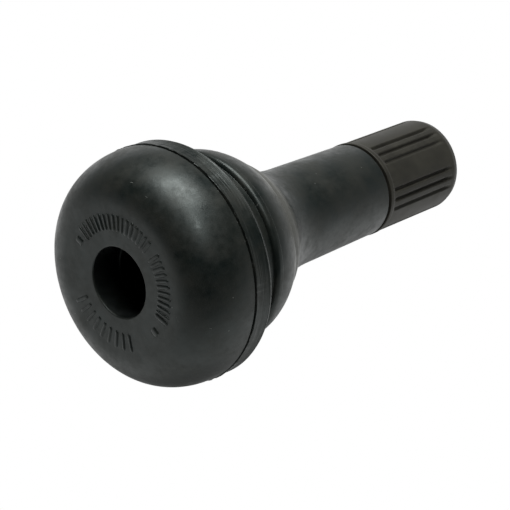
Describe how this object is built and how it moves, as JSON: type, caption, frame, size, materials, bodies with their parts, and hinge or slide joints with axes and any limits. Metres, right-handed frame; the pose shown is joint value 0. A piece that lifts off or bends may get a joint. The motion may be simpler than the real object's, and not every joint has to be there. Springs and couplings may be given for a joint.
{
  "type": "tyre valve",
  "caption": "Snap-in rubber tyre valve on its domed head: brass stem, screw-in valve core with a sprung pin, and a grooved plastic screw cap with a sealing washer.",
  "frame": {"origin": "centre of the air inlet on the flat face of the rubber head, which the valve stands on", "axes": "+Z along the stem, from the head's face to the end of the cap; the valve is round about Z apart from the cap's grooves and the plug's flats, which face +Y and -Y"},
  "size_m": [0.023, 0.023, 0.046],
  "materials": {
    "black_rubber": "moulded, semi-gloss, with lint and fine flow marks",
    "stem_brass": "turned",
    "plug_brass": "turned",
    "barrel_brass": "turned",
    "packing_ptfe": "smooth, slightly waxy",
    "pin_brass": "drawn",
    "spring_steel": "drawn wire",
    "cup_brass": "pressed",
    "gasket_rubber": "moulded, matte",
    "cap_plastic": "moulded, fine satin",
    "seal_rubber": "matte"
  },
  "bodies": {
    "valve_body": {"rubber_body": "black_rubber", "brass_stem": "stem_brass", "core_plug": "plug_brass", "core_barrel": "barrel_brass", "barrel_packing": "packing_ptfe", "core_spring": "spring_steel"},
    "pin": {"core_pin": "pin_brass", "seat_cup": "cup_brass", "seat_gasket": "gasket_rubber"},
    "seal": {"cap_seal": "seal_rubber"},
    "screw_cap": {"cap": "cap_plastic"}
  },
  "joints": [
    {"name": "pin_press", "type": "slide", "parent": "valve_body", "child": "pin", "axis": [0, 0, 1], "range_m": [-0.0012, 0], "stiffness_N_per_m": 1000, "springref_m": 0.0015, "deforming": ["core_spring"]},
    {"name": "cap_lift", "type": "slide", "parent": "valve_body", "child": "seal", "axis": [0, 0, 1], "range_m": [0, 0.00873]},
    {"name": "cap_turn", "type": "hinge", "parent": "seal", "child": "screw_cap", "pos_m": [0, 0, 0.04], "axis": [0, 0, 1], "range_deg": [0, 3960]}
  ],
  "couplings": [
    {"joint": "cap_turn", "follows": "cap_lift", "rad_per_m": 7915.8}
  ]
}
